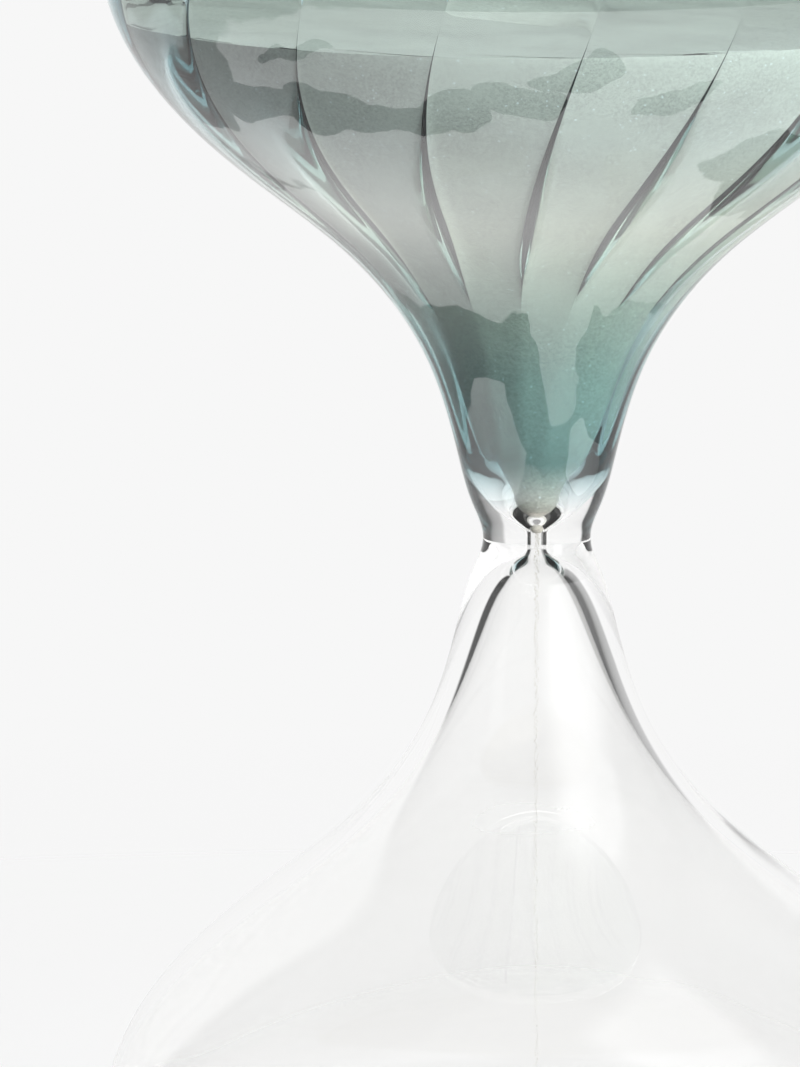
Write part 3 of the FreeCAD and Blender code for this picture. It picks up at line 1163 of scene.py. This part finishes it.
@dataclass
class Studio:
    """Floor, surroundings, lamps and camera, in metres and degrees."""

    centre_height: float = 0.120
    camera_distance: float = 2.0
    camera_elevation: float = 8.6
    frame_height: float = 0.1568
    side_offset: float = -0.0201
    height_offset: float = 0.0005
    sensor: float = 36.0
    white: float = 0.93
    table: float = 0.92
    fill: float = 0.205
    least_fill: float = 0.05
    fill_slope: Triple = (0.50, 0.10, 0.73)
    polish: float = 0.88
    screen_foot: float = -0.45
    screen_top: float = 0.97
    foot_blur: float = 0.08
    top_blur: float = 0.15
    feather: float = 0.22
    floor_radius: float = 0.6
    floor_drop: float = 0.00005
    floor_fade: tuple[float, float] = (0.16, 0.55)
    floor_tone: float = 0.94
    bounce: float = 0.22
    sweep: tuple[Point, ...] = (
        (-180, 0.35), (-116, 0.35), (-104, 0.03), (-46, 0.03), (-42, 0.94), (26, 0.94),
        (29, 0.50), (38, 0.40), (43, 0.32), (50, 0.06), (104, 0.05), (116, 0.35), (180, 0.35),
    )
    lamps: tuple[Lamp, ...] = (
        Lamp("left_box", (-0.9, -0.75, 0.55), (0.5, 0.8), 0.1, 1.2),
        Lamp("right_box", (1.28, -1.28, 0.40), (0.8, 0.7), 47.0, 3.0),
        Lamp("back_box", (-0.9, 1.4, 0.5), (0.8, 0.7), 2.5, 0.9),
        Lamp("top_box", (0.55, -0.25, 1.0), (0.8, 0.8), 4.4, 2.5),
    )

    def camera(self) -> None:
        """Place the camera: far off and a little above, with a long lens."""
        data = bpy.data.cameras.new("camera")
        data.sensor_width = self.sensor
        data.lens = self.camera_distance / self.frame_height * self.sensor
        data.clip_end = 50
        eye = bpy.data.objects.new("camera", data)
        bpy.context.scene.collection.objects.link(eye)
        tilt = math.radians(self.camera_elevation)
        target = Vector((self.side_offset, 0, self.centre_height + self.height_offset))
        back = Vector((0, -math.cos(tilt), math.sin(tilt)))
        eye.location = target + back * self.camera_distance
        eye.rotation_euler = back.to_track_quat("Z", "Y").to_euler()
        bpy.context.scene.camera = eye

    def world(self) -> None:
        """White to the eye; round the glass, a white sweep with a dark screen on either side."""
        world = bpy.data.worlds.new("studio")
        bpy.context.scene.world = world
        graph = Graph(world)
        way = graph.node("TexCoord", {}, "Generated")
        axes = graph.split(way)
        bearing = graph.math("DEGREES", graph.math("ARCTAN2", axes["X"], axes["Y"]))
        tones = [((degree + 180) / 360, (value,) * 3) for degree, value in self.sweep]
        round_about = graph.ramp(graph.scale(bearing, -180.0, 180.0), tones)
        low = graph.step(axes["Z"], self.screen_foot - self.foot_blur, self.screen_foot)
        high = graph.step(axes["Z"], self.screen_top + self.top_blur, self.screen_top)
        level = graph.math("MULTIPLY", low, high)
        shader = graph.node(
            "Background", {"Color": graph.blend(level, (self.table,) * 3, round_about)})
        slant = graph.vector("DOT_PRODUCT", way, self.fill_slope, output="Value")
        fill = graph.math("MAXIMUM", graph.math("ADD", slant, self.fill), self.least_fill)
        views = (("Is Reflection Ray", {"Color": opaque((self.polish,) * 3)}),
                 ("Is Diffuse Ray", {"Strength": fill}),
                 ("Is Camera Ray", {"Color": opaque((self.white,) * 3)}))
        for ray, look in views:
            shader = graph.mix(graph.ray(ray), shader, graph.node("Background", look))
        graph.finish(shader)

    def softbox(self, lamp: Lamp) -> None:
        """Hang a lamp, and the card that only polish shows in its place."""
        data = bpy.data.lights.new(lamp.name, "AREA")
        data.shape = "RECTANGLE"
        data.size, data.size_y = lamp.size
        data.energy = lamp.watts
        light = bpy.data.objects.new(lamp.name, data)
        light.location = Vector(lamp.place)
        aim = light.location - Vector((0, 0, self.centre_height))
        light.rotation_euler = aim.to_track_quat("Z", "Y").to_euler()
        light.visible_camera = False
        light.visible_glossy = False
        light.visible_transmission = False
        bpy.context.scene.collection.objects.link(light)
        bpy.ops.object.select_all(action="DESELECT")
        bpy.ops.mesh.primitive_plane_add(
            size=1, location=lamp.place, rotation=light.rotation_euler)
        card = bpy.context.object
        card.name = lamp.name + "_glow"
        card.scale = (*lamp.size, 1)
        graph = Graph.named(card.name)
        axes = graph.split(graph.vector("ABSOLUTE", graph.spot()))
        sides = [graph.step(axes[axis], 0.5, 0.5 - self.feather) for axis in "XY"]
        glow = graph.node("Emission", {"Strength": lamp.glow})
        surface = graph.mix(graph.math("MULTIPLY", *sides), graph.clear(), glow)
        card.data.materials.append(graph.finish(surface))
        only_in_polish(card)

    def floor(self) -> None:
        """Lay a pale round of floor that fades into the white surroundings."""
        bpy.ops.object.select_all(action="DESELECT")
        bpy.ops.mesh.primitive_circle_add(vertices=96, radius=self.floor_radius,
                                          fill_type="NGON", location=(0, 0, -self.floor_drop))
        floor = bpy.context.object
        floor.name = "studio_floor"
        graph = Graph.named("studio_floor")
        fade = graph.step(graph.length(graph.spot()), *self.floor_fade)
        tone = graph.scale(graph.ray("Is Diffuse Ray"), 0.0, 1.0, self.floor_tone, self.bounce)
        matt = graph.node("BsdfDiffuse", {"Color": tone})
        floor.data.materials.append(graph.finish(graph.mix(fade, matt, graph.clear())))

    def build(self) -> None:
        """Set the whole studio up."""
        self.floor()
        self.world()
        for lamp in self.lamps:
            self.softbox(lamp)
        self.camera()


@dataclass(frozen=True)
class Oval:
    """An oval on a reflection card, seen square on from the front, in millimetres."""

    across: float
    rise: float
    width: float
    height: float
    strength: float = 1.0


@dataclass
class ReflectionCard:
    """A glowing card wrapped round the front of a bulb, seen only in its polish.

    It stands for the large soft lights of the studio, whose torn edges show in the glass.
    Its sizes are in millimetres.
    """

    name: str
    profile: list[Point]
    centre: float
    bright: tuple[Oval, ...]
    dark: tuple[Oval, ...] = ()
    glow: float = 3.5
    falloff: float = 1.6
    tear: float = 7.0
    tear_size: float = 16.0
    softness: float = 0.03
    brightest: float = 0.0
    segments: int = 96

    def oval(self, graph: Graph, spot: Socket, shape: Oval) -> Socket:
        """Add an oval's strength inside it and 0 outside it."""
        middle = (shape.across * MM, 0, (self.centre + shape.rise) * MM)
        moved = graph.vector("SUBTRACT", spot, middle)
        size = (1 / shape.width / MM, 0, 1 / shape.height / MM)
        reach = graph.length(graph.vector("MULTIPLY", moved, size))
        return graph.step(reach, 1.0, 1.0 + self.softness, shape.strength, 0.0)

    def any_of(self, graph: Graph, spot: Socket, shapes: tuple[Oval, ...]) -> Socket | float:
        """Add the strongest of some ovals at each spot."""
        total = 0.0
        for shape in shapes:
            total = graph.math("MAXIMUM", total, self.oval(graph, spot, shape))
        return total

    def facing(self, graph: Graph, spot: Socket) -> Socket:
        """Add how squarely the card faces its brightest bearing, which dims its sides."""
        outward = graph.vector("NORMALIZE", graph.vector("MULTIPLY", spot, LEVEL))
        turn = math.radians(self.brightest)
        front = (math.sin(turn), -math.cos(turn), 0)
        share = graph.vector("DOT_PRODUCT", outward, front, output="Value")
        return graph.math("POWER", graph.math("MAXIMUM", share, 0.0), self.falloff)

    def material(self) -> Material:
        """Build the card's glow, with torn edges."""
        graph = Graph.named(self.name)
        spot = graph.spot()
        ragged = graph.node("TexNoise", {
            "Vector": spot, "Scale": 1 / (self.tear_size * MM), "Detail": 3.0,
            "Roughness": 0.45}, "Color")
        centred = graph.vector("SUBTRACT", ragged, (0.5, 0.5, 0.5))
        shift = graph.node("VectorMath", {0: centred, "Scale": 2 * self.tear * MM},
                           operation="SCALE")
        torn = graph.vector("ADD", spot, shift)
        unlit = graph.math("SUBTRACT", 1.0, self.any_of(graph, torn, self.dark))
        share = graph.math("MULTIPLY", self.any_of(graph, torn, self.bright), unlit)
        share = graph.math("MULTIPLY", share, self.facing(graph, spot))
        share = graph.math("MULTIPLY", share, graph.node("NewGeometry", {}, "Backfacing"))
        glow = graph.node("Emission", {"Color": opaque(WHITE), "Strength": self.glow})
        return graph.finish(graph.mix(share, graph.clear(), glow))

    def build(self) -> None:
        """Turn the card and hide it from everything but reflections."""
        outline = Outline()
        outline.add(self.profile, Face.OUTSIDE)
        card = turned(self.name, outline, self.segments, closed=False)
        face = card.data.polygons[0]
        if face.normal.dot(Vector((face.center.x, face.center.y, 0))) < 0:
            alone(card)
            bpy.ops.object.mode_set(mode="EDIT")
            bpy.ops.mesh.select_all(action="SELECT")
            bpy.ops.mesh.flip_normals()
            bpy.ops.object.mode_set(mode="OBJECT")
        card.data.materials.append(self.material())
        only_in_polish(card)


def add_cards(form: BulbForm, neck: float) -> None:
    """Wrap the reflection cards round the fronts of both bulbs.

    Args:
        form: the section of the bulbs.
        neck: the height of the neck plane.
    """
    stand_off, lowest, highest = 4.0, 3.0, 84.0
    shell = [spot for spot in inset(form.outside(), -stand_off) if lowest < spot[1] < highest]
    ReflectionCard(
        "upper_reflection_card", [(r, neck + rise) for r, rise in shell], neck,
        bright=(
            Oval(14, 42, 60, 12.5), Oval(5, 66, 62, 24), Oval(4, 30, 5.0, 13.5),
            Oval(10.2, 13, 3.6, 5.8, 2.0), Oval(-10, 12.5, 6.5, 9, 1.5),
            Oval(-3.5, 6, 4, 3.5, 0.4),
        ),
        dark=(
            Oval(-11, 25.5, 10, 5.5), Oval(-3, 19, 4, 8), Oval(-64, 66, 14, 24),
            Oval(17, 22, 8.5, 8.5), Oval(22, 66, 6, 1.8), Oval(-40, 74, 6, 1.3),
            Oval(-44, 65.5, 8, 3.4), Oval(-30, 63.2, 10, 3.9), Oval(-16, 64.5, 9, 3.9),
            Oval(-4, 68, 8, 3.2), Oval(6, 72.5, 7, 2.6), Oval(46, 50, 18, 10),
        ),
        brightest=-6,
    ).build()
    ReflectionCard(
        "lower_reflection_card", [(r, neck - rise) for r, rise in shell], neck,
        bright=(Oval(6.5, -9, 1.6, 6), Oval(8.5, -18, 2.8, 8.5)),
        glow=4.4, tear=2.0, softness=2.1,
    ).build()


# ---------------------------------------------------------------- assembly


def adopt(piece: bpy.types.Object, node: str) -> None:
    """Let a piece stand for its CAD node, on the part's one body."""
    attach(piece, BODY)
    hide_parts(node)
    LOG.info("%s stands for %s: %d faces", piece.name, node, len(piece.data.polygons))


def allow_long_paths() -> None:
    """Let light be thrown to and fro inside the thick neck as often as it needs."""
    cycles = bpy.context.scene.cycles
    cycles.max_bounces = 24
    cycles.glossy_bounces = 20
    cycles.transmission_bounces = 24
    cycles.transparent_max_bounces = 32


def main() -> None:
    """Build every piece, light the studio and place the camera."""
    logging.basicConfig(level=logging.INFO, format="%(name)s: %(message)s")
    bpy.context.scene.view_settings.view_transform = "Standard"
    allow_long_paths()
    low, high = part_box("upper_bulb")
    neck = low[2] / MM
    form = BulbForm(half_height=(high[2] - low[2]) / MM, belly_radius=(high[0] - low[0]) / MM / 2)
    upper_form = replace(form, flare_walls=(2.5, 1.6, 1.5, 1.6, 1.4), belly_wall=1.2,
                         throat=((4.95, 6.9), (7.2, 9.7)))
    lower_form = replace(form, flare_walls=(3.9, 2.6, 2.3, 2.3, 2.1))
    ribs = Ribs(neck=neck, floor_rise=form.floor_rise())

    clear = Glass("clear_glass", (1.0, 1.0, 0.996), (0.97, 0.975, 0.97)).material()
    tinted = Glass("tinted_glass", (0.86, 0.92, 0.915), (0.93, 0.96, 0.957))
    # the glass along the creases carries near-black painted shade
    crease = CreaseShadeGlass("crease_painted_shade", ribs, tinted).material()
    fused = fused_joint()
    tint = FusedTint("fused_tint", neck).material()
    sand = Sand("sand").material()

    below = GlassWork(lower_form, neck, ribs)
    adopt(below.lower(clear, fused), "lower_bulb")
    above = GlassWork(upper_form, neck, ribs)
    adopt(above.upper(clear, fused), "upper_bulb")
    adopt(above.lining(tinted.material(), tint, crease), "upper_lining")
    running = SandWork(upper_form, neck, ribs)
    adopt(running.charge(sand), "upper_sand")
    adopt(running.stream(sand), "falling_sand")
    adopt(SandWork(form, neck, ribs).heap(sand), "lower_sand")
    adopt(StopperWork().build(form, Silicone().material()), "fill_stopper")

    add_cards(form, neck)
    Studio().build()


if __name__ == "__main__":
    main()
